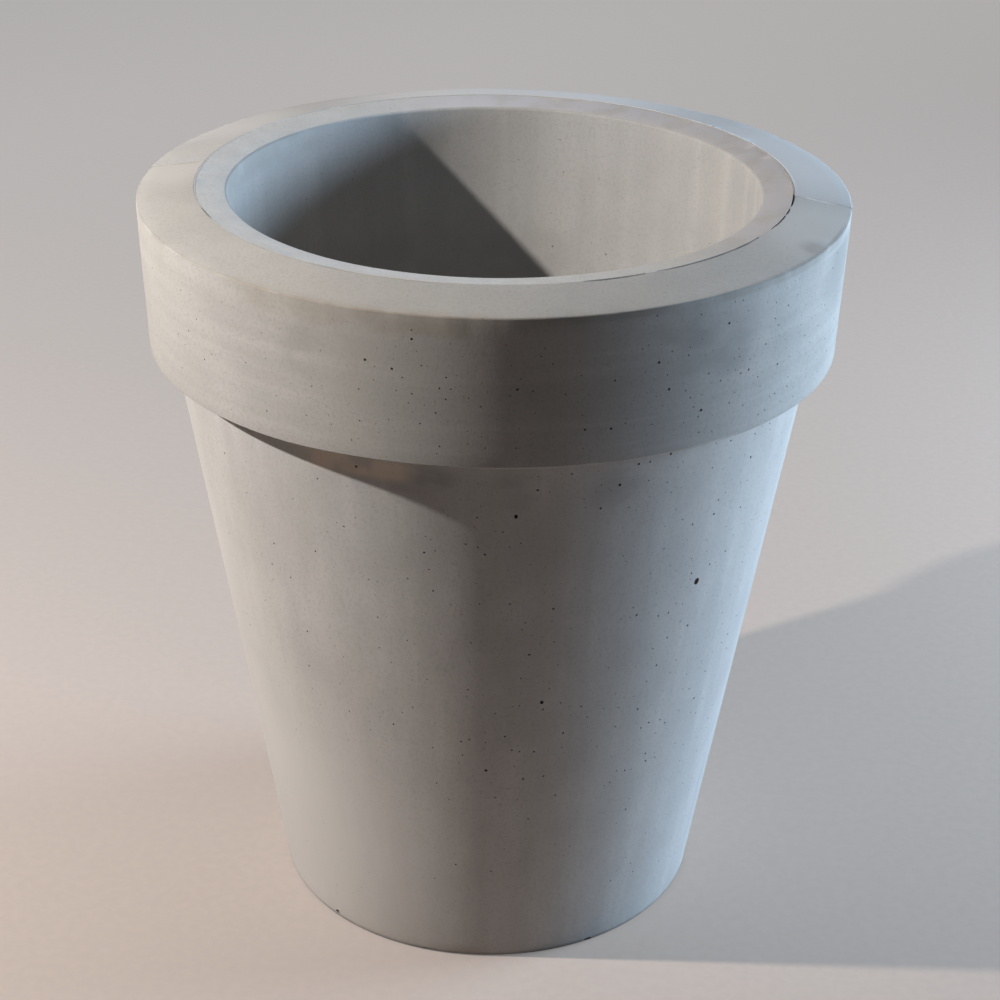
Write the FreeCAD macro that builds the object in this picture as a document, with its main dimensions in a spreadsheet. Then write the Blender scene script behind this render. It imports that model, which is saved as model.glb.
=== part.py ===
import FreeCAD, Part
import Sketcher
import os

# Floor-standing concrete flower pot: a tapered vessel, and round its top a collar cast in two halves.
# The vessel is rebated at the top: the collar sits in a mortar bed on its shoulder, round an undercut spigot.
# Millimetres, +Z up, origin at the centre of the base. The butt joints of the collar lie on the X axis.

SIZES = {
    # Overall
    "pot_height": 443.5,  # floor to the joint between lip and collar, the highest line
    "base_diameter": 256,  # body at the floor
    # Mouth, lip and spigot of the vessel
    "mouth_diameter": 300,  # clear width at the lip's inner edge
    "mouth_depth": 110,  # near-straight upper part of the cavity
    "mouth_round": 2,  # lip into the cavity
    "lip_width": 17,  # mouth to the joint
    "lip_fall": 3,  # slope of the lip, down towards the mouth
    "spigot_undercut": 2,  # spigot narrower at its foot than at the lip, so that the collar can't lift off
    # Wall, floor and drain of the vessel
    "wall_thickness": 34,  # measured level, below the mouth
    "waist_round": 60,  # straight mouth into the tapered cavity
    "floor_thickness": 40,
    "floor_round": 18,  # cavity wall into its floor
    "drain_diameter": 30,
    "foot_round": 2,  # edge that meets the ground
    # Collar
    "collar_width": 32.2,  # joint to the rim, across the top
    "collar_fall": 5.3,  # slope of the top, down towards the rim
    "collar_height": 82,  # outer face, hem to rim
    "collar_lean": 3.25,  # outer face drawn in from rim to hem
    "collar_overhang": 12.65,  # hem beyond the body
    "collar_round": 1.5,  # rim and hem edges
    "joint_round": 0.8,  # edges along the ring joint
    # Mortar joints
    "joint_gap": 0.8,  # between spigot and collar, and between the halves
    "joint_recess": 3,  # mortar stands back from the faces
    "bed_thickness": 1.2,  # under the collar
    "bed_margin": 4,  # bed stops short of the body's edge
}

NEAR = 1e-4  # two places closer than this are the same

# Levels and radii that follow from the sizes
LIP_RADIUS = "(Sizes.mouth_diameter / 2 + Sizes.lip_width)"
RIM_RADIUS = f"({LIP_RADIUS} + Sizes.joint_gap + Sizes.collar_width)"
HEM_RADIUS = f"({RIM_RADIUS} - Sizes.collar_lean)"
NECK_RADIUS = f"({HEM_RADIUS} - Sizes.collar_overhang)"
BASE_RADIUS = "(Sizes.base_diameter / 2)"
MOUTH_RADIUS = "(Sizes.mouth_diameter / 2)"
RIDGE = "Sizes.pot_height"
MOUTH = "(Sizes.pot_height - Sizes.lip_fall)"
WAIST = f"({MOUTH} - Sizes.mouth_depth)"
RIM = "(Sizes.pot_height - Sizes.collar_fall)"
HEM = f"({RIM} - Sizes.collar_height)"
SHOULDER = f"({HEM} - Sizes.bed_thickness)"
FLOOR = "Sizes.floor_thickness"
MORTAR_TOP = f"({RIDGE} - Sizes.joint_recess)"


def body_radius(level):
    """Outside of the tapered body at a level."""
    return f"({BASE_RADIUS} + ({NECK_RADIUS} - {BASE_RADIUS}) * {level} / {SHOULDER})"


def cavity_radius(level):
    """Inside of the tapered wall at a level."""
    return f"({body_radius(level)} - Sizes.wall_thickness)"


def spigot_radius(level):
    """Undercut face of the spigot at a level."""
    return f"({LIP_RADIUS} - Sizes.spigot_undercut * ({RIDGE} - {level}) / ({RIDGE} - {SHOULDER}))"


def bore_radius(level):
    """Inner face of the collar at a level, one joint gap off the spigot."""
    return f"({spigot_radius(level)} + Sizes.joint_gap)"


def fill_sheet(doc):
    """Spreadsheet with one named cell for each driving dimension."""
    sheet = doc.addObject("Spreadsheet::Sheet", "Sizes")
    for row, (name, size) in enumerate(SIZES.items(), start=1):
        sheet.set(f"A{row}", name)
        sheet.set(f"B{row}", str(size))
        sheet.setAlias(f"B{row}", name)
    doc.recompute()
    return sheet


def origin_plane(body, role):
    """One of the body's own origin planes."""
    return next(plane for plane in body.Origin.OriginFeatures if plane.Role == role)


def add_sketch(body, name, role):
    """Empty sketch on one of the body's origin planes."""
    sketch = body.newObject("Sketcher::SketchObject", name)
    sketch.AttachmentSupport = (origin_plane(body, role), [""])
    sketch.MapMode = "FlatFace"
    return sketch


def add_outline(body, name, corners, role="XZ_Plane"):
    """Closed outline of straight sides. A corner has a name, and its places across and up as expressions."""
    sketch = add_sketch(body, name, role)
    places = [[sketch.evalExpression(text) for text in corner] for corner in corners.values()]
    points = [FreeCAD.Vector(across, up, 0) for across, up in places]
    count = len(points)
    for side in range(count):
        sketch.addGeometry(Part.LineSegment(points[side], points[(side + 1) % count]))
    for side in range(count):
        sketch.addConstraint(Sketcher.Constraint("Coincident", side, 2, (side + 1) % count, 1))
    for side, (corner, texts) in enumerate(corners.items()):
        for kind, axis, text, place in zip(("DistanceX", "DistanceY"), (-2, -1), texts, places[side]):
            if abs(place) < NEAR:
                sketch.addConstraint(Sketcher.Constraint("PointOnObject", side, 1, axis))
                continue
            index = sketch.addConstraint(Sketcher.Constraint(kind, -1, 1, side, 1, place))
            sketch.renameConstraint(index, f"{corner}_{kind[-1]}")
            sketch.setExpression(f"Constraints.{corner}_{kind[-1]}", text)
    return sketch


def round_corner(sheet, sketch, side, size):
    """Arc of one named size in place of the corner at which a side begins. The corner stays as a point."""
    arc = sketch.GeometryCount
    radius = getattr(sheet, size)
    sketch.fillet(side, 1, radius, True, True)
    index = sketch.addConstraint(Sketcher.Constraint("Radius", arc, radius))
    sketch.renameConstraint(index, size)
    sketch.setExpression(f"Constraints.{size}", f"Sizes.{size}")


def turn(body, name, sketch, angle=360):
    """Outline turned round the pot's axis."""
    feature = body.newObject("PartDesign::Revolution", name)
    feature.Profile = sketch
    feature.ReferenceAxis = (sketch, ["V_Axis"])
    feature.Angle = angle
    return feature


def cut_upwards(body, name, sketch):
    """Pocket from the floor plane up through the whole piece."""
    before = body.Shape.Volume
    feature = body.newObject("PartDesign::Pocket", name)
    feature.Profile = sketch
    feature.Type = "ThroughAll"
    feature.Reversed = True
    body.Document.recompute()
    if feature.Shape.Volume > before - NEAR:
        raise RuntimeError(f"{name} cuts nothing")
    return feature


def ring_edges(sheet, shape, radius, level):
    """Names of the round edges at one radius and level."""
    radius, level = sheet.evalExpression(radius), sheet.evalExpression(level)
    names = []
    for number, edge in enumerate(shape.Edges, start=1):
        if not isinstance(edge.Curve, Part.Circle):
            continue
        if abs(edge.Curve.Radius - radius) < NEAR and abs(edge.Curve.Center.z - level) < NEAR:
            names.append(f"Edge{number}")
    return names


def round_off(sheet, body, name, size, rings):
    """Fillet of one named size along one or more round edges."""
    base = body.Tip
    edges = [edge for radius, level in rings for edge in ring_edges(sheet, base.Shape, radius, level)]
    if len(edges) < len(rings):
        raise RuntimeError(f"{name} misses an edge")
    feature = body.newObject("PartDesign::Fillet", name)
    feature.Base = (base, edges)
    feature.setExpression("Radius", f"Sizes.{size}")
    body.Document.recompute()
    return feature


def make_vessel(doc, sheet):
    """Tapered body with shoulder, spigot, lip, cavity and drain hole, in one casting."""
    body = doc.addObject("PartDesign::Body", "Vessel")
    body.Label = "vessel"
    corners = {
        "base_centre": ("0", "0"),
        "foot": (BASE_RADIUS, "0"),
        "neck": (NECK_RADIUS, SHOULDER),
        "spigot_foot": (spigot_radius(SHOULDER), SHOULDER),
        "lip": (LIP_RADIUS, RIDGE),
        "mouth": (MOUTH_RADIUS, MOUTH),
        "waist": (cavity_radius(WAIST), WAIST),
        "cavity_floor": (cavity_radius(FLOOR), FLOOR),
        "floor_centre": ("0", FLOOR),
    }
    outline = add_outline(body, "VesselOutline", corners)
    round_corner(sheet, outline, list(corners).index("waist"), "waist_round")
    turn(body, "VesselTurned", outline)
    doc.recompute()
    drain = add_sketch(body, "DrainCircle", "XY_Plane")
    circle = Part.Circle(FreeCAD.Vector(0, 0, 0), FreeCAD.Vector(0, 0, 1), sheet.drain_diameter / 2)
    drain.addGeometry(circle)
    drain.addConstraint(Sketcher.Constraint("Coincident", 0, 3, -1, 1))
    index = drain.addConstraint(Sketcher.Constraint("Diameter", 0, sheet.drain_diameter))
    drain.renameConstraint(index, "drain")
    drain.setExpression("Constraints.drain", "Sizes.drain_diameter")
    cut_upwards(body, "DrainHole", drain)
    round_off(sheet, body, "FloorRound", "floor_round", [(cavity_radius(FLOOR), FLOOR)])
    round_off(sheet, body, "MouthRound", "mouth_round", [(MOUTH_RADIUS, MOUTH)])
    round_off(sheet, body, "LipRound", "joint_round", [(LIP_RADIUS, RIDGE)])
    round_off(sheet, body, "FootRound", "foot_round", [(BASE_RADIUS, "0")])
    return body


def make_collar_half(doc, sheet, label, turned):
    """Half of the collar, its ends half a joint gap short of the middle plane. The front half is turned."""
    name = label.title().replace("_", "")
    body = doc.addObject("PartDesign::Body", name)
    body.Label = label
    outline = add_outline(body, f"{name}Outline", {
        "heel": (bore_radius(HEM), HEM),
        "hem": (HEM_RADIUS, HEM),
        "rim": (RIM_RADIUS, RIM),
        "crest": (bore_radius(RIDGE), RIDGE),
    })
    turn(body, f"{name}Turned", outline, angle=180)
    doc.recompute()
    end_cut = add_outline(body, f"{name}Ends", {
        "left_front": (f"-({RIM_RADIUS} + Sizes.joint_gap)", "-Sizes.joint_gap / 2"),
        "right_front": (f"{RIM_RADIUS} + Sizes.joint_gap", "-Sizes.joint_gap / 2"),
        "right_rear": (f"{RIM_RADIUS} + Sizes.joint_gap", "Sizes.joint_gap / 2"),
        "left_rear": (f"-({RIM_RADIUS} + Sizes.joint_gap)", "Sizes.joint_gap / 2"),
    }, role="XY_Plane")
    cut_upwards(body, f"{name}EndCut", end_cut)
    round_off(sheet, body, f"{name}EdgeRound", "collar_round", [(RIM_RADIUS, RIM), (HEM_RADIUS, HEM)])
    round_off(sheet, body, f"{name}CrestRound", "joint_round", [(bore_radius(RIDGE), RIDGE)])
    body.Placement = half_turn(turned)
    return body


def make_bed_mortar(doc):
    """Mortar of angle section: a bed on the shoulder, and the filling between spigot and collar."""
    body = doc.addObject("PartDesign::Body", "CollarBedMortar")
    body.Label = "collar_bed_mortar"
    outline = add_outline(body, "BedOutline", {
        "corner": (spigot_radius(SHOULDER), SHOULDER),
        "bed_edge": (f"{NECK_RADIUS} - Sizes.bed_margin", SHOULDER),
        "bed_top": (f"{NECK_RADIUS} - Sizes.bed_margin", HEM),
        "heel": (bore_radius(HEM), HEM),
        "top_outer": (bore_radius(MORTAR_TOP), MORTAR_TOP),
        "top_inner": (spigot_radius(MORTAR_TOP), MORTAR_TOP),
    })
    turn(body, "BedTurned", outline)
    return body


def make_butt_mortar(doc, label, turned):
    """Mortar between two ends of the collar, set back from its faces. The left one is turned."""
    name = label.title().replace("_", "")
    body = doc.addObject("PartDesign::Body", name)
    body.Label = label
    outline = add_outline(body, f"{name}Outline", {
        "heel": (bore_radius(HEM), HEM),
        "hem": (f"{HEM_RADIUS} - Sizes.joint_recess", HEM),
        "rim": (f"{RIM_RADIUS} - Sizes.joint_recess", f"{RIM} - Sizes.joint_recess"),
        "crest": (bore_radius(MORTAR_TOP), MORTAR_TOP),
    })
    slab = body.newObject("PartDesign::Pad", f"{name}Slab")
    slab.Profile = outline
    slab.SideType = "Symmetric"
    slab.setExpression("Length", "Sizes.joint_gap")
    body.Placement = half_turn(turned)
    return body


def half_turn(turned):
    """Placement about the pot's axis: a half turn, or none."""
    rotation = FreeCAD.Rotation(FreeCAD.Vector(0, 0, 1), 180 if turned else 0)
    return FreeCAD.Placement(FreeCAD.Vector(0, 0, 0), rotation)


def check(doc, pieces):
    """Stop before anything is written if an object failed or a piece isn't one valid solid."""
    for item in doc.Objects:
        if "Invalid" in item.State or "Error" in item.State:
            raise RuntimeError(f"{item.Label}: {item.State}")
    for piece in pieces:
        if piece.Shape.isNull() or not piece.Shape.isValid() or len(piece.Shape.Solids) != 1:
            raise RuntimeError(f"{piece.Label} is not one valid solid")


def main():
    doc = FreeCAD.newDocument("FlowerPot")
    sheet = fill_sheet(doc)
    pieces = [
        make_vessel(doc, sheet),
        make_collar_half(doc, sheet, "collar_front_half", turned=True),
        make_collar_half(doc, sheet, "collar_rear_half", turned=False),
        make_bed_mortar(doc),
        make_butt_mortar(doc, "right_joint_mortar", turned=False),
        make_butt_mortar(doc, "left_joint_mortar", turned=True),
    ]
    doc.recompute()
    check(doc, pieces)
    os.makedirs("parts", exist_ok=True)
    for piece in pieces:
        piece.Shape.exportStep(f"parts/{piece.Label}.step")
        box = piece.Shape.optimalBoundingBox()
        print(piece.Label, f"{piece.Shape.Volume / 1e6:.4f} l,", f"x {box.XMin:.2f} to {box.XMax:.2f},",
              f"y {box.YMin:.2f} to {box.YMax:.2f},", f"z {box.ZMin:.2f} to {box.ZMax:.2f}")


main()
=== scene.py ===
import math
import random

import bmesh
import bpy
from mathutils import Matrix, Vector, noise


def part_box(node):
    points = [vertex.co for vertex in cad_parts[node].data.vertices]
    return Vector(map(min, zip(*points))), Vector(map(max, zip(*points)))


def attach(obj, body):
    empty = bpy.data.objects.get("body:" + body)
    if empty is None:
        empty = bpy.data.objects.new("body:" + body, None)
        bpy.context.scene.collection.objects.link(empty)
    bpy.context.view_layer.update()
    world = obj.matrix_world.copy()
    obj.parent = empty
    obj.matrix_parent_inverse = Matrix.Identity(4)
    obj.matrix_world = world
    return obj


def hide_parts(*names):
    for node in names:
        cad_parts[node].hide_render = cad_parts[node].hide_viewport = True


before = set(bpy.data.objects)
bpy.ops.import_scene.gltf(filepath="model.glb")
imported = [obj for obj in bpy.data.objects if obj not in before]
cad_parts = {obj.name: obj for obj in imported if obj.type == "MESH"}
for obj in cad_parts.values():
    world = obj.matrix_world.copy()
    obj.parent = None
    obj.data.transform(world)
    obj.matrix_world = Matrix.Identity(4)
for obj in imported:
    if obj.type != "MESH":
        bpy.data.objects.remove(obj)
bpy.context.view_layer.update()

# Concrete flower pot: one cast vessel and, round its top, a collar cast in two halves and bedded in mortar.
# Metres, +Z up. Azimuths are in degrees round the axis: 0 at the right butt joint, -90 at the front.

MM = 0.001

# Levels and radii that the frame gives
NECK_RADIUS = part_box("vessel")[1].x
LIP_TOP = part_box("vessel")[1].z
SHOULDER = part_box("collar_bed_mortar")[0].z
BED_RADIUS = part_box("collar_bed_mortar")[1].x
MORTAR_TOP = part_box("collar_bed_mortar")[1].z
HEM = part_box("collar_rear_half")[0].z
CREST_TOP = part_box("collar_rear_half")[1].z
HEEL_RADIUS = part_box("right_joint_mortar")[0].x
HALF_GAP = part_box("right_joint_mortar")[1].y
JOINT_GAP = 2 * HALF_GAP

# Vessel
BASE_RADIUS = 128 * MM
DRAIN_RADIUS = 15 * MM
FLOOR = 40 * MM
MOUTH_RADIUS = 149.6 * MM
LIP_RADIUS = 167 * MM
LIP_DROP = 0.2 * MM
LIP_FALL = 2.9 * MM
MOUTH_DEPTH = 110 * MM
WALL = 34 * MM
FOOT_ROUND = 2 * MM
MOUTH_ROUND = 2 * MM
WAIST_ROUND = 60 * MM
FLOOR_ROUND = 18 * MM
DRAIN_ROUND = 1.5 * MM

# Collar
RIM_RADIUS = 200 * MM
RIM_FALL = 5.2 * MM
HEM_LEAN = 3.25 * MM
CREST_RADIUS = LIP_RADIUS + JOINT_GAP
RIM_ROUND = 1.3 * MM
HEM_ROUND = 0.6 * MM
ARRIS = 0.12 * MM
FRONT_END_ARRIS = 0.12 * MM
REAR_END_ARRIS = 0.2 * MM
FRONT_DROP = 0.12 * MM
SAG_AZIMUTHS = (-150, 0)
RIM_PATCH = 9 * MM
FINE_PATCH = 0.4 * RIM_PATCH
RIM_WEAR = 0.3 * MM
WORN_REACH = (0.5 * RIM_ROUND, 2.2 * RIM_ROUND)

# Hem of the collar: how far it hangs low at the left and at the right, in mm, the azimuths between which each
# dip rises or falls, and how far inwards and upwards a dip reaches
LEFT_DIP = 0.9
LEFT_DIP_RISE = (120, 175)
LEFT_DIP_FALL = (-118, -98)
RIGHT_DIP = 2.2
RIGHT_DIP_RISE = (-100, -5)
RIGHT_DIP_FALL = (5, 120)
DIP_RADIUS = NECK_RADIUS + 2 * MM
DIP_HEIGHT = 30 * MM

# Mesh
ROUND_STEPS = 288
COLLAR_STEPS = 576
ROUND_SEGMENTS = 5
RING_STEP = 9 * MM
MERGE = 0.001 * MM
CREASE = math.radians(32)
ARRIS_SEGMENTS = 2

# Ends of a collar half are the faces that look along Y as squarely as this and have more corners than this
END_FACING = 0.99
END_CORNERS = 8

# Levels and radii that follow from these
SPIGOT_FOOT_RADIUS = HEEL_RADIUS - JOINT_GAP
LIP = LIP_TOP - LIP_DROP
MOUTH = LIP - LIP_FALL
WAIST = MOUTH - MOUTH_DEPTH
RIM = CREST_TOP - RIM_FALL
HEM_RADIUS = RIM_RADIUS - HEM_LEAN


def body_radius(height):
    """Outside of the tapered body at a height."""
    return BASE_RADIUS + (NECK_RADIUS - BASE_RADIUS) * height / SHOULDER


def collar_radius(height):
    """Outer face of the collar at a height."""
    return RIM_RADIUS - HEM_LEAN * (RIM - height) / (RIM - HEM)


def cavity_radius(height):
    """Inner face of the wall at a height: tapered up to the waist, near-straight from there to the mouth."""
    if height < WAIST:
        return body_radius(height) - WALL
    waist_radius = body_radius(WAIST) - WALL
    return waist_radius + (MOUTH_RADIUS - waist_radius) * (height - WAIST) / MOUTH_DEPTH


def round_point(radius, azimuth, height):
    """Point at a radius, an azimuth in degrees and a height."""
    turn = math.radians(azimuth)
    return Vector((radius * math.cos(turn), radius * math.sin(turn), height))


def azimuth_of(point):
    """Azimuth of a point in degrees, from -180 to 180."""
    return math.degrees(math.atan2(point.y, point.x))


def ease(value, start, end):
    """0 before the start, 1 after the end, and a smooth rise in between."""
    share = min(max((value - start) / (end - start), 0), 1)
    return share * share * (3 - 2 * share)


# Castings

def round_corner(bm, corner, size):
    """Arc of one size in place of an outline's corner."""
    before, after = [edge.other_vert(corner).co - corner.co for edge in corner.link_edges]
    offset = size / math.tan(before.angle(after) / 2)
    bmesh.ops.bevel(bm, geom=[corner], offset=offset, offset_type="OFFSET", segments=ROUND_SEGMENTS,
                    profile=0.5, affect="VERTICES", material=-1)


def turned(corners, steps=ROUND_STEPS):
    """Closed casting turned round the axis. Its outline's corners have a radius, a height and a round."""
    bm = bmesh.new()
    points = [bm.verts.new((radius, 0, height)) for radius, height, _ in corners]
    for first, second in zip(points, points[1:] + points[:1]):
        bm.edges.new((first, second))
    for point, (_, _, size) in zip(points, corners):
        if size:
            round_corner(bm, point, size)
    for side in bm.edges[:]:
        cuts = int(side.calc_length() / RING_STEP)
        if cuts:
            bmesh.ops.subdivide_edges(bm, edges=[side], cuts=cuts)
    bmesh.ops.spin(bm, geom=bm.verts[:] + bm.edges[:], cent=(0, 0, 0), axis=(0, 0, 1), angle=math.tau,
                   steps=steps, use_merge=True)
    bmesh.ops.remove_doubles(bm, verts=bm.verts[:], dist=MERGE)
    bmesh.ops.recalc_face_normals(bm, faces=bm.faces[:])
    return bm


def cut_half(bm, front):
    """Half of a turned ring, its two ends half a joint gap from the middle plane, with worn end arrises."""
    side = -1 if front else 1
    plane = Vector((0, side * HALF_GAP, 0))
    bmesh.ops.bisect_plane(bm, geom=bm.verts[:] + bm.edges[:] + bm.faces[:], dist=MERGE, plane_co=plane,
                           plane_no=(0, -side, 0), clear_outer=True)
    bmesh.ops.holes_fill(bm, edges=[edge for edge in bm.edges if edge.is_boundary], sides=0)
    bmesh.ops.recalc_face_normals(bm, faces=bm.faces[:])
    ends = [face for face in bm.faces if abs(face.normal.y) > END_FACING and len(face.verts) > END_CORNERS]
    arrises = list({edge for face in ends for edge in face.edges})
    offset = FRONT_END_ARRIS if front else REAR_END_ARRIS
    bmesh.ops.bevel(bm, geom=arrises, offset=offset, offset_type="OFFSET", segments=ARRIS_SEGMENTS,
                    profile=0.5, affect="EDGES", material=-1)


def sag_front(bm):
    """Front half set a little low at its right end, so that the rear half stands proud at that joint."""
    for vert in bm.verts:
        share = ease(azimuth_of(vert.co), *SAG_AZIMUTHS) * (vert.co.z - HEM) / (CREST_TOP - HEM)
        vert.co.z -= FRONT_DROP * share


def hollow(point, cast):
    """How far a hand-cast face lies behind its mould at a point."""
    depth, size, offset = cast
    share = 0.5 + 0.6 * noise.noise(point / size + Vector((offset, 0, 0)))
    return depth * min(max(share, 0), 1)


def hand_cast(bm, cast):
    """Faces a little hollow here and there, never proud of the mould."""
    bm.normal_update()
    for vert in bm.verts:
        if vert.co.z > FOOT_ROUND:
            vert.co -= vert.normal * hollow(vert.co, cast)


def roughen_rim(bm, offset):
    """Rim edge of the collar worn back unevenly, never proud of the mould."""
    bm.normal_update()
    for vert in bm.verts:
        reach = math.hypot(math.hypot(vert.co.x, vert.co.y) - RIM_RADIUS, vert.co.z - RIM)
        near = 1 - ease(reach, *WORN_REACH)
        if near > 0:
            coarse = noise.noise(vert.co / RIM_PATCH + Vector((offset, 0, 0)))
            fine = noise.noise(vert.co / FINE_PATCH + Vector((0, offset, 0)))
            vert.co -= vert.normal * near * RIM_WEAR * min(max(0.35 + coarse + 0.7 * fine, 0), 1)


def hem_dip(azimuth):
    """How far the collar's hem hangs below its level at an azimuth, in mm."""
    front_left = LEFT_DIP * (1 - ease(azimuth, *LEFT_DIP_FALL))
    right = RIGHT_DIP * ease(azimuth, *RIGHT_DIP_RISE) * (1 - ease(azimuth, *RIGHT_DIP_FALL))
    rear_left = LEFT_DIP * ease(azimuth, *LEFT_DIP_RISE)
    return front_left + right + rear_left


def dip_hem(bm):
    """Outer edge of the hem let down unevenly, as the mould left it."""
    for vert in bm.verts:
        outer = ease(math.hypot(vert.co.x, vert.co.y), DIP_RADIUS, HEM_RADIUS - HEM_ROUND)
        low = 1 - ease(vert.co.z, HEM + HEM_ROUND, HEM + DIP_HEIGHT)
        vert.co.z -= hem_dip(azimuth_of(vert.co)) * MM * outer * low


def as_object(bm, name, finishes):
    """Scene object of a finished mesh, smooth but for its creases."""
    for face in bm.faces:
        face.smooth = True
    mesh = bpy.data.meshes.new(name)
    bm.to_mesh(mesh)
    bm.free()
    mesh.set_sharp_from_angle(angle=CREASE)
    for finish in finishes:
        mesh.materials.append(finish)
    piece = bpy.data.objects.new(name, mesh)
    bpy.context.scene.collection.objects.link(piece)
    return piece


def settle(piece, node):
    """The piece stands for its CAD node and stays with the pot."""
    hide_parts(node)
    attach(piece, "root")


# Air holes

# How finely pinholes and larger holes are faceted, the share of its depth that a hole's middle is sunk,
# the spacing of the holes, the widths of pinholes, how tall one is for its width, and the tries for each
PIN_FACETS = 1
HOLE_FACETS = 2
SUNK = 0.3
SPACING = 2.4 * MM
BODY_PINHOLES = (0.45 * MM, 0.5 * MM, 0.55 * MM, 0.6 * MM, 0.65 * MM, 0.7 * MM, 0.8 * MM, 0.95 * MM, 1.2 * MM)
COLLAR_PINHOLES = (0.45 * MM, 0.5 * MM, 0.55 * MM, 0.6 * MM, 0.75 * MM, 1.0 * MM)
TALLNESS = (0.85, 1.25)
TRIES = 80

# Places of two finishes in a piece's list
HOLE_FINISH = 1
CAVITY_FINISH = 2

# Sides of a wall
OUTSIDE = 1
INSIDE = -1


def add_hole(cutter, place, outward, width, height, facets=HOLE_FACETS):
    """Egg-shaped cutter at a place on a face, sunk below it, of a width and a height in the face."""
    facing = outward.to_track_quat("Z", "Y").to_matrix().to_4x4()
    depth = (width + height) / 4
    shape = Matrix.Diagonal((width / 2, height / 2, depth, 1))
    centre = place - outward * SUNK * depth
    bmesh.ops.create_icosphere(cutter, subdivisions=facets, radius=1,
                               matrix=Matrix.Translation(centre) @ facing @ shape)


def wall_place(radius_at, azimuth, height, side, cast):
    """Place on a side of a turned wall, and the direction away from it."""
    step = 1 * MM
    slope = (radius_at(height + step) - radius_at(height - step)) / (2 * step)
    outward = (round_point(1, azimuth, -slope) * side).normalized()
    place = round_point(radius_at(height), azimuth, height)
    return place - outward * hollow(place, cast), outward


def claim(taken, radius, azimuth, height):
    """Takes a place on a wall if no hole lies near it."""
    across = round(radius * math.radians(azimuth) / SPACING)
    up = round(height / SPACING)
    if any((across + right, up + above) in taken for right in (-1, 0, 1) for above in (-1, 0, 1)):
        return False
    taken.add((across, up))
    return True


def place_holes(cutter, holes, radius_at, cast, taken):
    """Larger holes of a wall's outside at their own places, which they take."""
    for azimuth, height, width, tall in holes:
        claim(taken, radius_at(height * MM), azimuth, height * MM)
        place, outward = wall_place(radius_at, azimuth, height * MM, OUTSIDE, cast)
        add_hole(cutter, place, outward, width * MM, tall * MM)


def scatter_holes(cutter, draw, count, widths, radius_at, azimuths, heights, side, cast, density, taken):
    """Pinholes at random places of a wall, thicker where the density is higher, clear of the places taken."""
    made = 0
    for _ in range(TRIES * count):
        azimuth = draw.uniform(*azimuths)
        height = draw.uniform(*heights)
        width = draw.choice(widths)
        if draw.random() > density(azimuth, height):
            continue
        if not claim(taken, radius_at(height), azimuth, height):
            continue
        place, outward = wall_place(radius_at, azimuth, height, side, cast)
        add_hole(cutter, place, outward, width, width * draw.uniform(*TALLNESS), PIN_FACETS)
        made += 1
        if made == count:
            break


def pierce(piece, cutter):
    """Cuts the holes into a piece. Their insides take the piece's second finish."""
    for face in cutter.faces:
        face.material_index = HOLE_FINISH
        face.smooth = True
    bmesh.ops.recalc_face_normals(cutter, faces=cutter.faces[:])
    mesh = bpy.data.meshes.new("holes")
    cutter.to_mesh(mesh)
    cutter.free()
    holes = bpy.data.objects.new("holes", mesh)
    bpy.context.scene.collection.objects.link(holes)
    cut = piece.modifiers.new("holes", "BOOLEAN")
    cut.operation = "DIFFERENCE"
    cut.solver = "MANIFOLD"
    cut.object = holes
    pierced = bpy.data.meshes.new_from_object(piece.evaluated_get(bpy.context.evaluated_depsgraph_get()))
    piece.modifiers.remove(cut)
    bpy.data.objects.remove(holes)
    solid = piece.data
    piece.data = pierced
    bpy.data.meshes.remove(solid)
    pierced.name = piece.name
    pierced.set_sharp_from_angle(angle=CREASE)


# Pot pieces

# Hollows of the hand-cast faces: depth, size of a patch and offset of the pattern
VESSEL_CAST = (0.25 * MM, 55 * MM, 3)
FRONT_CAST = (0.2 * MM, 45 * MM, 11)
REAR_CAST = (0.2 * MM, 45 * MM, 17)

# Pinholes: the seed of their places, how many there are, and the azimuths and heights they lie between
VESSEL_SEED = 7
FRONT_SEED = 19
REAR_SEED = 23
BODY_COUNT = 1150
CAVITY_COUNT = 300
COLLAR_COUNT = 440
ALL_ROUND = (-180, 180)
FRONT_AZIMUTHS = (-178, -2)
REAR_AZIMUTHS = (2, 178)
BODY_HEIGHTS = (20 * MM, 345 * MM)
CAVITY_HEIGHTS = (120 * MM, 430 * MM)
COLLAR_HEIGHTS = (361 * MM, 434 * MM)

# Larger air holes of the body: azimuth, height in mm, width and height of the hole in mm
BODY_HOLES = [
    (-39, 254, 4.0, 4.8), (-77.4, 320, 2.2, 3.0), (-71, 195, 2.3, 2.7), (-82, 147, 1.9, 1.9),
    (-57, 345, 1.5, 1.5), (-63, 321, 1.4, 1.4), (-82.5, 296, 1.3, 1.3), (-70, 259, 1.4, 1.4),
    (-53, 245, 1.5, 1.5), (-39, 224, 1.4, 1.6), (-74, 229, 1.5, 1.3), (-46, 204, 1.4, 1.4),
    (-38, 297, 1.6, 1.4), (-66, 171, 1.4, 1.4), (-49, 176, 1.3, 1.5), (-31, 163, 1.5, 1.5),
    (-74, 140, 1.4, 1.4), (-44, 133, 1.5, 1.3), (-104, 343, 1.6, 1.6), (-74, 336, 1.5, 1.5),
    (-60, 334, 1.7, 1.6), (-51, 347, 1.6, 1.6), (-93, 295, 1.4, 1.4), (-30, 324, 1.5, 1.5),
]

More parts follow.
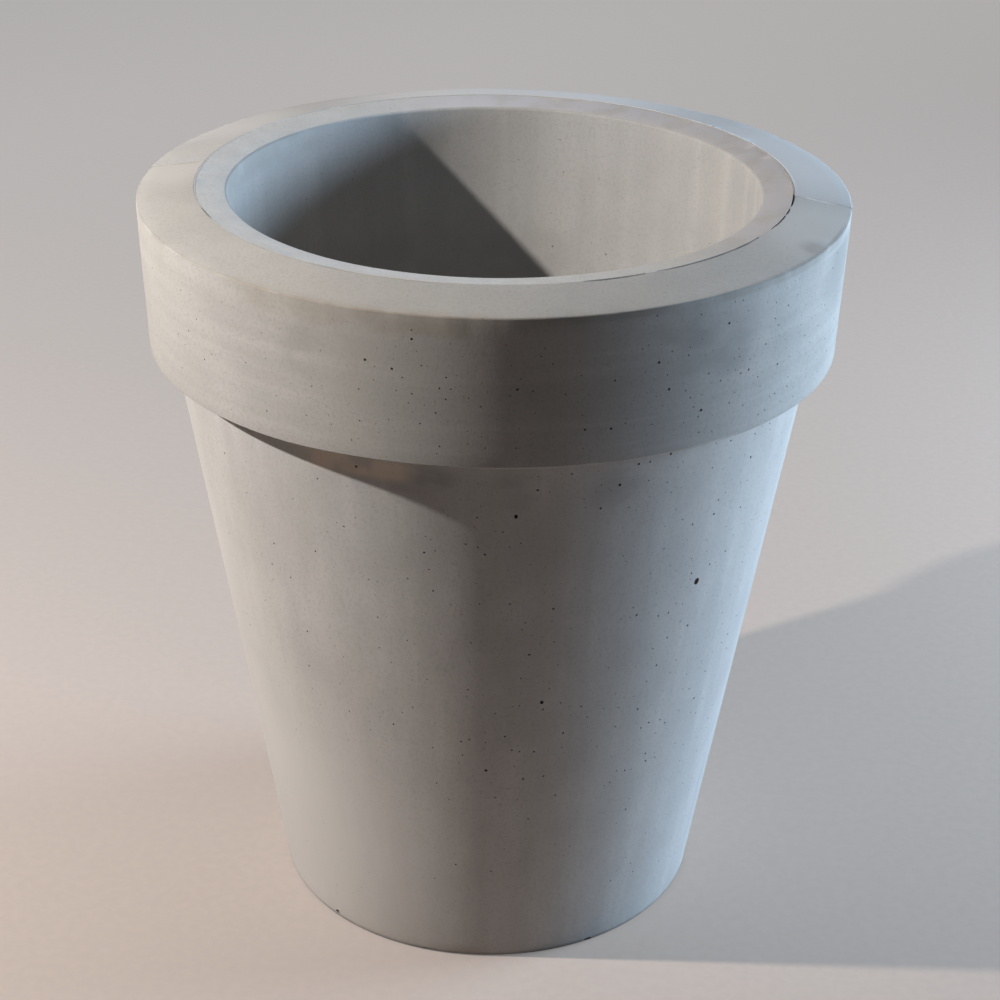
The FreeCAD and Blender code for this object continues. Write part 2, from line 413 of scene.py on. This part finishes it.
# Larger air holes of the collar's front half, in the same order
FRONT_COLLAR_HOLES = [
    (-78, 400, 1.5, 1.5), (-57, 408, 1.6, 1.6), (-55, 392, 1.7, 1.6), (-49, 376, 1.6, 1.6),
    (-45, 421, 1.5, 1.5), (-40, 391, 1.4, 1.4), (-64, 375, 1.4, 1.4), (-100, 411, 1.6, 1.6),
    (-93, 425, 1.5, 1.4), (-96, 408, 1.4, 1.4), (-68, 376, 1.3, 1.3), (-33, 387, 1.3, 1.3),
]

# Nicks in the edge at the ground: azimuth, height in mm, width and height of the nick in mm
FOOT_NICKS = [(-126.5, 4, 4, 3), (-53, 1.5, 6, 2.6), (-98, 1, 4, 2), (35, 2, 5, 3), (110, 1.5, 6, 2.4)]


def body_density(azimuth, height):
    """More air holes on the right of the front than elsewhere, and few near the ground."""
    front_right = ease(azimuth, -98, -80) * (1 - ease(azimuth, -28, -8))
    elsewhere = 0.08 + 0.2 * ease(height, 130 * MM, 220 * MM)
    above_ground = 0.25 + 0.75 * ease(height, 90 * MM, 150 * MM)
    return (elsewhere + 0.72 * front_right) * above_ground


def cavity_density(azimuth, height):
    """Fewer air holes near the bottom of the cavity."""
    return 0.3 + 0.7 * ease(height, 200 * MM, 320 * MM)


def collar_density(azimuth, height):
    """More pinholes in the lower part of the collar's face than at its rim, and fewer on the left."""
    left = 1 - ease(azimuth, -115, -75)
    near_rim = ease(height, 395 * MM, 430 * MM)
    return (1 - 0.6 * near_rim) * (1 - 0.8 * left)


def make_vessel():
    """Tapered body with shoulder, spigot, lip, cavity and drain hole, with the air holes of its faces."""
    bm = turned([
        (DRAIN_RADIUS, 0, 0),
        (BASE_RADIUS, 0, FOOT_ROUND),
        (NECK_RADIUS, SHOULDER, 0),
        (SPIGOT_FOOT_RADIUS, SHOULDER, 0),
        (LIP_RADIUS, LIP, ARRIS),
        (MOUTH_RADIUS, MOUTH, MOUTH_ROUND),
        (body_radius(WAIST) - WALL, WAIST, WAIST_ROUND),
        (body_radius(FLOOR) - WALL, FLOOR, FLOOR_ROUND),
        (DRAIN_RADIUS, FLOOR, DRAIN_ROUND),
    ])
    hand_cast(bm, VESSEL_CAST)
    for face in bm.faces:
        middle = face.calc_center_median()
        wall_middle = min(body_radius(middle.z) - WALL / 2, (MOUTH_RADIUS + LIP_RADIUS) / 2)
        if FLOOR / 2 < middle.z < MOUTH and math.hypot(middle.x, middle.y) < wall_middle:
            face.material_index = CAVITY_FINISH
    vessel = as_object(bm, "cast_vessel", [vessel_finish, pore_finish, cavity_finish])
    settle(vessel, "vessel")
    draw = random.Random(VESSEL_SEED)
    cutter = bmesh.new()
    taken = set()
    place_holes(cutter, BODY_HOLES, body_radius, VESSEL_CAST, taken)
    for azimuth, height, width, tall in FOOT_NICKS:
        place = round_point(body_radius(height * MM), azimuth, height * MM)
        add_hole(cutter, place, round_point(1, azimuth, 0), width * MM, tall * MM)
    scatter_holes(cutter, draw, BODY_COUNT, BODY_PINHOLES, body_radius, ALL_ROUND, BODY_HEIGHTS,
                  OUTSIDE, VESSEL_CAST, body_density, taken)
    scatter_holes(cutter, draw, CAVITY_COUNT, COLLAR_PINHOLES, cavity_radius, ALL_ROUND, CAVITY_HEIGHTS,
                  INSIDE, VESSEL_CAST, cavity_density, set())
    pierce(vessel, cutter)


def make_collar_half(name, node, front, finish):
    """Half of the collar, with the pinholes of its faces and a worn rim."""
    bm = turned([
        (HEEL_RADIUS, HEM, 0),
        (HEM_RADIUS, HEM, HEM_ROUND),
        (RIM_RADIUS, RIM, RIM_ROUND),
        (CREST_RADIUS, CREST_TOP, ARRIS),
    ], COLLAR_STEPS)
    cast = FRONT_CAST if front else REAR_CAST
    cut_half(bm, front)
    if front:
        sag_front(bm)
    hand_cast(bm, cast)
    roughen_rim(bm, cast[2])
    dip_hem(bm)
    half = as_object(bm, name, [finish, pore_finish])
    settle(half, node)
    draw = random.Random(FRONT_SEED if front else REAR_SEED)
    azimuths = FRONT_AZIMUTHS if front else REAR_AZIMUTHS
    cutter = bmesh.new()
    taken = set()
    if front:
        place_holes(cutter, FRONT_COLLAR_HOLES, collar_radius, cast, taken)
    scatter_holes(cutter, draw, COLLAR_COUNT, COLLAR_PINHOLES, collar_radius, azimuths, COLLAR_HEIGHTS,
                  OUTSIDE, cast, collar_density, taken)
    pierce(half, cutter)


# Stretches of the ring joint that the mortar leaves open: first and last azimuth, and depth in mm
OPEN_STRETCHES = [
    (-66, -54.2, 5), (-52.2, -25, 7), (-20, -11.8, 4), (-10.8, -7.6, 3), (-6, 1.5, 5),
]
FLUSH_DEPTH = 0.03 * MM

# Degrees over which a stretch opens and closes
TAPER = 4

# How far the mortar of the butt joints lies behind the collar's faces
RIGHT_RECESS = 0.02 * MM
LEFT_RECESS = 0.1 * MM


def ring_joint_depth(azimuth):
    """How far the mortar lies below the edges of the ring joint at an azimuth."""
    depth = FLUSH_DEPTH
    for first, last, deepest in OPEN_STRETCHES:
        taper = min(TAPER, (last - first) / 3)
        share = ease(azimuth, first, first + taper) * (1 - ease(azimuth, last - taper, last))
        depth = max(depth, deepest * MM * share)
    return depth


def make_bed_mortar():
    """Mortar under the collar and in the ring joint, smoothed off at the top but for the open stretches."""
    bm = turned([
        (SPIGOT_FOOT_RADIUS, SHOULDER, 0),
        (BED_RADIUS, SHOULDER, 0),
        (BED_RADIUS, HEM, 0),
        (HEEL_RADIUS, HEM, 0),
        (CREST_RADIUS, MORTAR_TOP, 0),
        (LIP_RADIUS, MORTAR_TOP, 0),
    ])
    for vert in bm.verts:
        if vert.co.z > MORTAR_TOP - MERGE:
            vert.co.z = LIP - ring_joint_depth(azimuth_of(vert.co))
    bed = as_object(bm, "ring_mortar", [mortar_finish])
    settle(bed, "collar_bed_mortar")


def make_butt_mortar(name, node, side, recess):
    """Mortar between two ends of the collar, set back from its faces. The side is 1 right and -1 left."""
    bm = bmesh.new()
    rim_cut = RIM_ROUND + RIM_WEAR
    low_hem = HEM - hem_dip(0 if side > 0 else 180) * MM
    corners = [
        (HEEL_RADIUS, HEM),
        (DIP_RADIUS, HEM),
        (HEM_RADIUS - recess, low_hem),
        (collar_radius(RIM - rim_cut) - recess, RIM - rim_cut),
        (RIM_RADIUS - rim_cut, RIM - recess),
        (CREST_RADIUS, CREST_TOP - recess),
    ]
    outline = bm.faces.new([bm.verts.new((side * radius, -HALF_GAP, height)) for radius, height in corners])
    grown = bmesh.ops.extrude_face_region(bm, geom=[outline])
    far_side = [item for item in grown["geom"] if isinstance(item, bmesh.types.BMVert)]
    bmesh.ops.translate(bm, verts=far_side, vec=(0, JOINT_GAP, 0))
    bmesh.ops.recalc_face_normals(bm, faces=bm.faces[:])
    slab = as_object(bm, name, [mortar_finish])
    settle(slab, node)


# Finishes

# Marks that reach farther than this are soft, smaller ones ragged. A mark on the pot's top lies flat.
BROAD = 30 * MM
TOP_FLATNESS = 6

# Patterns of concrete, by how many patches there are to a metre
CLOUDS = 8.0
WARMTH = 5.0
MOTTLE = 34.0
GRAIN = 620.0
PINHOLES = 330.0


def add_node(tree, kind, sockets, **settings):
    """Node of a kind, its sockets linked or set by name or number."""
    made = tree.nodes.new(f"ShaderNode{kind}")
    for name, value in settings.items():
        setattr(made, name, value)
    for name, value in sockets.items():
        if isinstance(value, bpy.types.NodeSocket):
            tree.links.new(value, made.inputs[name])
        else:
            made.inputs[name].default_value = value
    return made


def new_finish(name):
    """Material with its node tree, its shader and its piece's own coordinates."""
    finish = bpy.data.materials.new(name)
    finish.use_nodes = True
    tree = finish.node_tree
    shader = tree.nodes["Principled BSDF"]
    place = tree.nodes.new("ShaderNodeTexCoord").outputs["Object"]
    return finish, tree, shader, place


def stretched(tree, place, stretch):
    """Coordinates stretched along the axes."""
    return add_node(tree, "VectorMath", {0: place, 1: stretch}, operation="MULTIPLY").outputs[0]


def patches(tree, place, scale, detail=2.0, shift=0.0):
    """Soft patches of noise, about one over the scale in size."""
    moved = add_node(tree, "VectorMath", {0: place, 1: (shift, shift, shift)}, operation="ADD").outputs[0]
    return add_node(tree, "TexNoise", {"Vector": moved, "Scale": scale, "Detail": detail}).outputs[0]


def spread(tree, value, low, high, bottom, top):
    """A value's range from low to high, brought to bottom and top and smoothed."""
    return add_node(tree, "MapRange", {"Value": value, "From Min": low, "From Max": high, "To Min": bottom,
                                       "To Max": top}, interpolation_type="SMOOTHSTEP").outputs[0]


def combined(tree, first, second, operation="MULTIPLY"):
    """Two masks combined."""
    return add_node(tree, "Math", {0: first, 1: second}, operation=operation).outputs[0]


def toned(tree, under, share, tone):
    """A tone laid over what lies under it, as far as the share goes."""
    return add_node(tree, "Mix", {0: share, 6: under, 7: (*tone, 1)}, data_type="RGBA").outputs[2]


def shade(tone, factor):
    """A tone made darker or lighter."""
    return tuple(channel * factor for channel in tone)


def patch(tree, place, azimuth, radius, height, reach):
    """Mask of a mark round a place: soft where broad, ragged where small, flat on the pot's top."""
    flatness = (1, 1, TOP_FLATNESS if height > RIM else 1)
    middle = round_point(radius, azimuth, height) * Vector(flatness)
    away = add_node(tree, "VectorMath", {0: stretched(tree, place, flatness), 1: middle},
                    operation="DISTANCE").outputs["Value"]
    near = spread(tree, away, 0.25 * reach, reach, 1.0, 0.0)
    if reach > BROAD:
        return near
    level = patches(tree, stretched(tree, place, (1, 1, 2.2)), 32, 2.0, azimuth)
    return combined(tree, near, spread(tree, level, 0.32, 0.62, 0.0, 1.0))


def edge_line(tree, place, azimuth, reach, radius, height, width):
    """Mask of an uneven line along a turned edge, fading out at a reach from its middle."""
    level_place = stretched(tree, place, (1, 1, 0))
    flat = add_node(tree, "VectorMath", {0: level_place}, operation="LENGTH").outputs["Value"]
    level = add_node(tree, "SeparateXYZ", {0: place}).outputs["Z"]
    section = add_node(tree, "CombineXYZ", {0: flat, 1: level}).outputs[0]
    edge = (radius, height, 0)
    across = add_node(tree, "VectorMath", {0: section, 1: edge}, operation="DISTANCE").outputs["Value"]
    middle = round_point(radius, azimuth, height)
    along = add_node(tree, "VectorMath", {0: place, 1: middle}, operation="DISTANCE").outputs["Value"]
    line = combined(tree, spread(tree, across, 0.35 * width, width, 1.0, 0.0),
                    spread(tree, along, 0.6 * reach, reach, 1.0, 0.0))
    return combined(tree, line, spread(tree, patches(tree, place, 45, 3.0, azimuth), 0.35, 0.55, 0.35, 1.0))


def marked(tree, place, colour, tone, marks, edges):
    """Colour with the marks and edge lines of a finish laid over it."""
    for azimuth, radius, height, reach, share, factor in marks:
        spot = combined(tree, patch(tree, place, azimuth, radius, height, reach), share)
        colour = toned(tree, colour, spot, shade(tone, factor))
    for azimuth, reach, radius, height, width, share, tint in edges:
        line = combined(tree, edge_line(tree, place, azimuth, reach, radius, height, width), share)
        colour = toned(tree, colour, line, tuple(channel * part for channel, part in zip(tone, tint)))
    return colour


def concrete(name, tones, shift, streaks, marks, edges):
    """Cast concrete: clouded and mottled, with streaks from the mould, pinholes painted as dark dots of
    shade, marks and edge lines, and a foot darkened by dirt and painted contact shade.
    """
    finish, tree, shader, place = new_finish(name)
    height = add_node(tree, "SeparateXYZ", {0: place}).outputs["Z"]
    clouds = patches(tree, place, CLOUDS, 2.0, shift)
    warmth = patches(tree, place, WARMTH, 1.0, shift + 7.3)
    mottle = patches(tree, place, MOTTLE, 3.0, shift + 2.1)
    lines = patches(tree, stretched(tree, place, streaks), 1.0, 2.0, shift)
    grain = patches(tree, place, GRAIN, 2.0, shift)
    colour = add_node(tree, "Mix", {0: spread(tree, warmth, 0.35, 0.65, 0.0, 1.0), 6: (*tones[0], 1),
                                    7: (*tones[1], 1)}, data_type="RGBA").outputs[2]
    middle = tuple((first + second) / 2 for first, second in zip(*tones))
    colour = toned(tree, colour, spread(tree, clouds, 0.5, 0.25, 0.0, 0.6), shade(middle, 0.86))
    colour = toned(tree, colour, spread(tree, clouds, 0.5, 0.75, 0.0, 0.6), shade(middle, 1.12))
    colour = toned(tree, colour, spread(tree, mottle, 0.35, 0.7, 0.0, 0.4), shade(middle, 0.88))
    colour = toned(tree, colour, spread(tree, lines, 0.45, 0.75, 0.0, 0.5), shade(middle, 1.13))
    colour = toned(tree, colour, spread(tree, lines, 0.5, 0.25, 0.0, 0.4), shade(middle, 0.9))
    colour = toned(tree, colour, spread(tree, grain, 0.42, 0.75, 0.0, 0.4), shade(middle, 0.72))
    colour = marked(tree, place, colour, middle, marks, edges)
    # Pinholes too small to cut: dark dots of painted shade, also dented by the bump below
    cells = add_node(tree, "TexVoronoi", {"Vector": place, "Scale": PINHOLES})
    picked = add_node(tree, "SeparateXYZ", {0: cells.outputs["Color"]}).outputs["X"]
    pinholes = combined(tree, spread(tree, cells.outputs["Distance"], 0.06, 0.16, 1.0, 0.0),
                        spread(tree, picked, 0.90, 0.92, 0.0, 0.75))
    colour = toned(tree, colour, pinholes, shade(middle, 0.45))
    # Darker at the foot: partly dirt, partly painted contact shade where the pot meets the floor
    foot_dirt_and_shade = combined(tree, spread(tree, height, 0.5 * MM, 4 * MM, 1.0, 0.0),
                      spread(tree, mottle, 0.3, 0.6, 0.3, 0.9))
    colour = toned(tree, colour, foot_dirt_and_shade, shade(middle, 0.4))
    tree.links.new(colour, shader.inputs["Base Color"])
    tree.links.new(spread(tree, mottle, 0.3, 0.7, 0.74, 0.92), shader.inputs["Roughness"])
    shader.inputs["Specular IOR Level"].default_value = 0.3
    rough = combined(tree, combined(tree, grain, 0.5), combined(tree, lines, 0.5), "ADD")
    rough = combined(tree, rough, pinholes, "SUBTRACT")
    bump = add_node(tree, "Bump", {"Strength": 0.35, "Distance": 0.25 * MM, "Height": rough})
    tree.links.new(bump.outputs[0], shader.inputs["Normal"])
    return finish


def sandy(name, tone, scale, contrast, marks=(), edges=()):
    """Fine sandy surface in two shades of one tone, with marks and edge lines."""
    finish, tree, shader, place = new_finish(name)
    grain = patches(tree, place, scale, 3.0)
    share = spread(tree, grain, 0.3, 0.7, 0.0, 1.0)
    dark = (*shade(tone, 1 - contrast), 1)
    light = (*shade(tone, 1 + contrast), 1)
    colour = add_node(tree, "Mix", {0: share, 6: dark, 7: light}, data_type="RGBA").outputs[2]
    colour = marked(tree, place, colour, tone, marks, edges)
    tree.links.new(colour, shader.inputs["Base Color"])
    shader.inputs["Roughness"].default_value = 0.9
    shader.inputs["Specular IOR Level"].default_value = 0.25
    bump = add_node(tree, "Bump", {"Strength": 0.3, "Distance": 0.2 * MM, "Height": grain})
    tree.links.new(bump.outputs[0], shader.inputs["Normal"])
    return finish, tree, shader, place


# Streaks from the mould, by how many there are to a metre along each axis
MOULD_RIPPLES = (70, 70, 2.5)
TURNED_STREAKS = (6, 6, 160)

# Tones that the concrete drifts between, and the tones of the mortar and of the holes
VESSEL_TONES = ((0.56, 0.555, 0.545), (0.54, 0.545, 0.55))
CAVITY_TONES = ((0.495, 0.49, 0.48), (0.475, 0.48, 0.485))
FRONT_TONES = ((0.485, 0.478, 0.463), (0.465, 0.465, 0.463))
REAR_TONES = ((0.515, 0.514, 0.514), (0.505, 0.514, 0.535))
MORTAR_TONE = (0.53, 0.525, 0.515)
# The inside of the air holes is darker: partly dust, partly painted shade in the holes
HOLE_TONE = (0.26, 0.255, 0.25)

# Tints of the edge lines, as shares of the tone that they lie on
# Painted highlight of a rim catching the light
PAINTED_RIM_HIGHLIGHT = (1.12, 1.12, 1.12)
WORN = (1.3, 1.3, 1.3)
BARED = (1.45, 1.42, 1.38)
# Painted light: the cool lamp's blue laid into a colour
PAINTED_COOL_LIGHT = (1.12, 1.14, 1.26)
# Painted light: warm bounce light laid into a colour
PAINTED_BOUNCE_LIGHT = (1.5, 1.3, 1.1)
# Painted shade: the dark of an open joint gap, laid along its edge
PAINTED_GAP_SHADE = (0.3, 0.3, 0.32)
# Darker lines; in the cavity they are painted shade
DARKENED = (0.78, 0.76, 0.73)
BROWNED = (0.7, 0.63, 0.54)
# Painted highlight of an edge catching the light
PAINTED_CREST_HIGHLIGHT = (1.55, 1.58, 1.6)
# Painted highlight of a joint's edge catching the light
PAINTED_JOINT_HIGHLIGHT = (1.75, 1.76, 1.8)

# Marks of a finish: azimuth, radius, height, reach, share and how dark or light the mark is.
# Edge lines of a finish: azimuth, reach along the edge, radius, height, width, share and tint.
vessel_finish = concrete(
    "vessel concrete", VESSEL_TONES, shift=0.0, streaks=MOULD_RIPPLES,
    marks=[
        (-95, 181 * MM, 339 * MM, 18 * MM, 0.9, 0.67), (-91, 181 * MM, 340 * MM, 16 * MM, 0.9, 0.67),
        (-78, 180 * MM, 337 * MM, 17 * MM, 0.8, 0.7), (-60, 180 * MM, 334 * MM, 22 * MM, 0.7, 0.73),
        # painted light: the lower left lit more evenly than the warm lamp lights it, and a painted sheen
        # along the left edge
        (-145, 140 * MM, 60 * MM, 170 * MM, 0.8, 1.28), (-172, 160 * MM, 220 * MM, 150 * MM, 0.7, 1.22),
    ],
    edges=[
        (60, 400 * MM, LIP_RADIUS, LIP, 1 * MM, 0.3, WORN),
        # painted light: the cool lamp's blue on the slope of the lip
        (45, 230 * MM, (MOUTH_RADIUS + LIP_RADIUS) / 2, LIP - LIP_FALL / 2, 15 * MM, 0.85, PAINTED_COOL_LIGHT),
        # painted light: warm bounce light in the collar's shadow on the body, just under the hem
        (-104, 36 * MM, 181.5 * MM, 344 * MM, 9 * MM, 0.75, PAINTED_BOUNCE_LIGHT),
    ])
cavity_finish = concrete(
    "cavity concrete", CAVITY_TONES, shift=5.2, streaks=MOULD_RIPPLES,
    marks=[
        (40, 150 * MM, 380 * MM, 25 * MM, 0.3, 0.8), (-90, 150 * MM, 390 * MM, 120 * MM, 0.5, 0.85),
    ],
    edges=[
        (60, 100 * MM, MOUTH_RADIUS, MOUTH, 1 * MM, 0.2, WORN),
        # painted shade: the inside wall dimmed just below the mouth on the left, and low on the shadowed far
        # wall
        (180, 120 * MM, MOUTH_RADIUS, MOUTH - 4 * MM, 13 * MM, 0.75, DARKENED),
        (115, 120 * MM, 141 * MM, 332 * MM, 45 * MM, 0.5, DARKENED),
    ])
front_finish = concrete(
    "front collar concrete", FRONT_TONES, shift=3.7, streaks=TURNED_STREAKS,
    marks=[
        (-52, RIM_RADIUS, 416 * MM, 26 * MM, 0.8, 0.7), (-44, RIM_RADIUS, 406 * MM, 24 * MM, 0.7, 0.7),
        (-110, RIM_RADIUS, 410 * MM, 20 * MM, 0.4, 0.7), (-95, RIM_RADIUS, 400 * MM, 60 * MM, 0.4, 0.86),
        (-12, RIM_RADIUS, 420 * MM, 36 * MM, 0.85, 0.76), (-14, 186 * MM, 440 * MM, 65 * MM, 0.75, 1.25),
        (-22, 196 * MM, 439 * MM, 17 * MM, 0.7, 0.72), (-179, 182 * MM, 441 * MM, 60 * MM, 0.8, 1.15),
    ],
    edges=[
        (-75, 45 * MM, HEM_RADIUS, HEM - 0.3 * MM, 1.2 * MM, 0.75, BARED),
        (-52, 42 * MM, HEM_RADIUS, HEM - 1.0 * MM, 1.3 * MM, 0.75, BARED),
        (-155, 130 * MM, RIM_RADIUS, RIM, 1.8 * MM, 0.9, DARKENED),
        (-24, 62 * MM, RIM_RADIUS - 1 * MM, RIM, 2.6 * MM, 0.6, DARKENED),
        (-42, 130 * MM, RIM_RADIUS, RIM - 2 * MM, 3.5 * MM, 0.8, DARKENED),
        (-102, 90 * MM, RIM_RADIUS, RIM - 5 * MM, 9 * MM, 0.4, BROWNED),
        (-105, 90 * MM, RIM_RADIUS, RIM, 1.6 * MM, 0.8, BROWNED),
        (-112, 75 * MM, CREST_RADIUS, CREST_TOP, 1.3 * MM, 0.6, BROWNED),
        # painted shade: the dark of the open ring joint, laid along the front half's crest
        (-60, 19 * MM, CREST_RADIUS, CREST_TOP, 1.4 * MM, 0.95, PAINTED_GAP_SHADE),
        (-39, 41 * MM, CREST_RADIUS, CREST_TOP, 1.3 * MM, 0.95, PAINTED_GAP_SHADE),
        (-15.3, 10 * MM, CREST_RADIUS, CREST_TOP, 0.8 * MM, 0.8, PAINTED_GAP_SHADE),
        (-9.2, 6 * MM, CREST_RADIUS, CREST_TOP, 0.8 * MM, 0.8, PAINTED_GAP_SHADE),
        (-2.6, 9 * MM, CREST_RADIUS, CREST_TOP, 0.8 * MM, 0.8, PAINTED_GAP_SHADE),
    ])
rear_finish = concrete(
    "rear collar concrete", REAR_TONES, shift=9.1, streaks=TURNED_STREAKS,
    marks=[
        # the last three marks are a painted highlight on the top of the rear half, towards the back
        (60, RIM_RADIUS, 400 * MM, 25 * MM, 0.4, 0.7), (25, 184 * MM, 441 * MM, 110 * MM, 0.9, 1.22),
        (95, 184 * MM, 441 * MM, 150 * MM, 0.9, 1.55), (152, 192 * MM, 440 * MM, 60 * MM, 0.7, 1.2),
    ],
    edges=[
        (90, 90 * MM, HEM_RADIUS, HEM, 1.2 * MM, 0.5, WORN),
        # painted highlight along the rim of the rear half
        (170, 150 * MM, RIM_RADIUS, RIM, 1.8 * MM, 0.5, PAINTED_RIM_HIGHLIGHT),
        # painted highlight along the inner crest edge of the rear half
        (40, 120 * MM, CREST_RADIUS, CREST_TOP, 1.6 * MM, 0.9, PAINTED_CREST_HIGHLIGHT),
    ])
mortar_finish = sandy(
    "joint mortar", MORTAR_TONE, scale=500, contrast=0.12,
    marks=[
        # painted shade: the dark of open cracks in the ring joint at the front left
        (-149, LIP_RADIUS, LIP, 14 * MM, 0.9, 0.35), (-140, LIP_RADIUS, LIP, 9 * MM, 0.8, 0.4),
        (-112, LIP_RADIUS, LIP, 11 * MM, 0.8, 0.45),
    ],
    edges=[
        # painted shade: the dark of the left butt joint's gap
        (180, 17 * MM, 178 * MM, 442 * MM, 10 * MM, 0.95, PAINTED_GAP_SHADE),
        # painted highlight: a light line along the right butt joint
        (0, 34 * MM, 181 * MM, 441 * MM, 14 * MM, 1.0, PAINTED_JOINT_HIGHLIGHT),
    ])[0]
pore_finish = sandy("inside of air holes", HOLE_TONE, scale=900, contrast=0.12)[0]


# Studio

# Camera: how far round it stands from the middle of the front, its distance and height, its lens in mm, and
# the yaw, dip and roll of its aim in radians
VIEW_TURN = math.radians(8.4)
EYE_DISTANCE = 1.1993
EYE_HEIGHT = 0.8350
LENS = 79.97
VIEW_YAW = 0.0046
VIEW_DOWN = 0.4596
VIEW_ROLL = 0.0132

LAMP_AIM = Vector((0, 0, 0.24))


def make_camera():
    """Camera at the photograph's place and angle."""
    lens = bpy.data.cameras.new("camera")
    lens.lens = LENS
    camera = bpy.data.objects.new("camera", lens)
    bpy.context.scene.collection.objects.link(camera)
    aim = (Matrix.Rotation(VIEW_TURN - VIEW_YAW, 4, "Z") @ Matrix.Rotation(math.pi / 2 - VIEW_DOWN, 4, "X")
           @ Matrix.Rotation(VIEW_ROLL, 4, "Z"))
    eye = Matrix.Rotation(VIEW_TURN, 4, "Z") @ Vector((0, -EYE_DISTANCE, EYE_HEIGHT))
    camera.matrix_world = Matrix.Translation(eye) @ aim
    bpy.context.scene.camera = camera


def make_lamp(name, azimuth, elevation, distance, size, power, colour):
    """Lamp of a width and a height that looks at the middle of the pot, its azimuth from the view's right."""
    lamp = bpy.data.lights.new(name, "AREA")
    lamp.shape = "ELLIPSE"
    lamp.size, lamp.size_y = size
    lamp.energy = power
    lamp.color = colour
    stand = bpy.data.objects.new(name, lamp)
    turn = math.degrees(VIEW_TURN)
    flat = distance * math.cos(math.radians(elevation))
    place = LAMP_AIM + round_point(flat, azimuth + turn, distance * math.sin(math.radians(elevation)))
    facing = (LAMP_AIM - place).to_track_quat("-Z", "Y").to_matrix().to_4x4()
    stand.matrix_world = Matrix.Translation(place) @ facing
    bpy.context.scene.collection.objects.link(stand)


def seen_rays(tree):
    """1 for rays by which the camera sees floor or background, directly or in a gloss, and 0 for others."""
    paths = tree.nodes.new("ShaderNodeLightPath").outputs
    gloss = combined(tree, paths["Is Glossy Ray"], paths["Is Transmission Ray"], "MAXIMUM")
    return combined(tree, paths["Is Camera Ray"], gloss, "MAXIMUM")


FLOOR_TONE = (0.36, 0.29, 0.25)
FLOOR_GLOW = (1, 0.98, 0.98)
FLOOR_GRAIN = 160
FLOOR_REACH = 8

# Glow of the floor to the camera: the place of its dim side, the distances from there between which the glow
# grows, and its strength at both
DIM_SIDE = round_point(2, -20, 0)
DIM_REACH = (1.2, 3.6)
GLOW_NEAR = 0.11
GLOW_FAR = 0.39


def make_floor():
    """Plain pale floor. To the camera it is evened out: brighter the farther it lies from the front right."""
    finish, tree, shader, place = sandy("pale floor", FLOOR_TONE, scale=FLOOR_GRAIN, contrast=0.03)
    shader.inputs["Emission Color"].default_value = (*FLOOR_GLOW, 1)
    away = add_node(tree, "VectorMath", {0: place, 1: DIM_SIDE}, operation="DISTANCE").outputs["Value"]
    glow = combined(tree, seen_rays(tree), spread(tree, away, *DIM_REACH, GLOW_NEAR, GLOW_FAR))
    tree.links.new(glow, shader.inputs["Emission Strength"])
    bm = bmesh.new()
    bmesh.ops.create_grid(bm, x_segments=1, y_segments=1, size=FLOOR_REACH)
    floor = as_object(bm, "floor", [finish])


WORLD_FILL = 0.008
WORLD_SEEN = 0.5
WORLD_TONE = (1, 0.98, 0.96)


def make_world():
    """Faint fill from all round, which the camera sees as a pale background."""
    world = bpy.data.worlds.new("studio")
    world.use_nodes = True
    tree = world.node_tree
    strength = spread(tree, seen_rays(tree), 0.0, 1.0, WORLD_FILL, WORLD_SEEN)
    tree.links.new(strength, tree.nodes["Background"].inputs["Strength"])
    tree.nodes["Background"].inputs["Color"].default_value = (*WORLD_TONE, 1)
    bpy.context.scene.world = world


make_vessel()
make_collar_half("collar_front", "collar_front_half", True, front_finish)
make_collar_half("collar_rear", "collar_rear_half", False, rear_finish)
make_bed_mortar()
make_butt_mortar("right_butt_mortar", "right_joint_mortar", 1, RIGHT_RECESS)
make_butt_mortar("left_butt_mortar", "left_joint_mortar", -1, LEFT_RECESS)

make_floor()
make_world()
make_camera()
make_lamp("warm lamp", azimuth=194.5, elevation=36.6, distance=1.27, size=(0.035, 0.035), power=17.5,
          colour=(1, 0.93, 0.86))
make_lamp("cool lamp", azimuth=14, elevation=13.5, distance=1.6, size=(1, 0.4), power=41,
          colour=(0.61, 0.8, 1))
bpy.context.scene.view_settings.view_transform = "Standard"
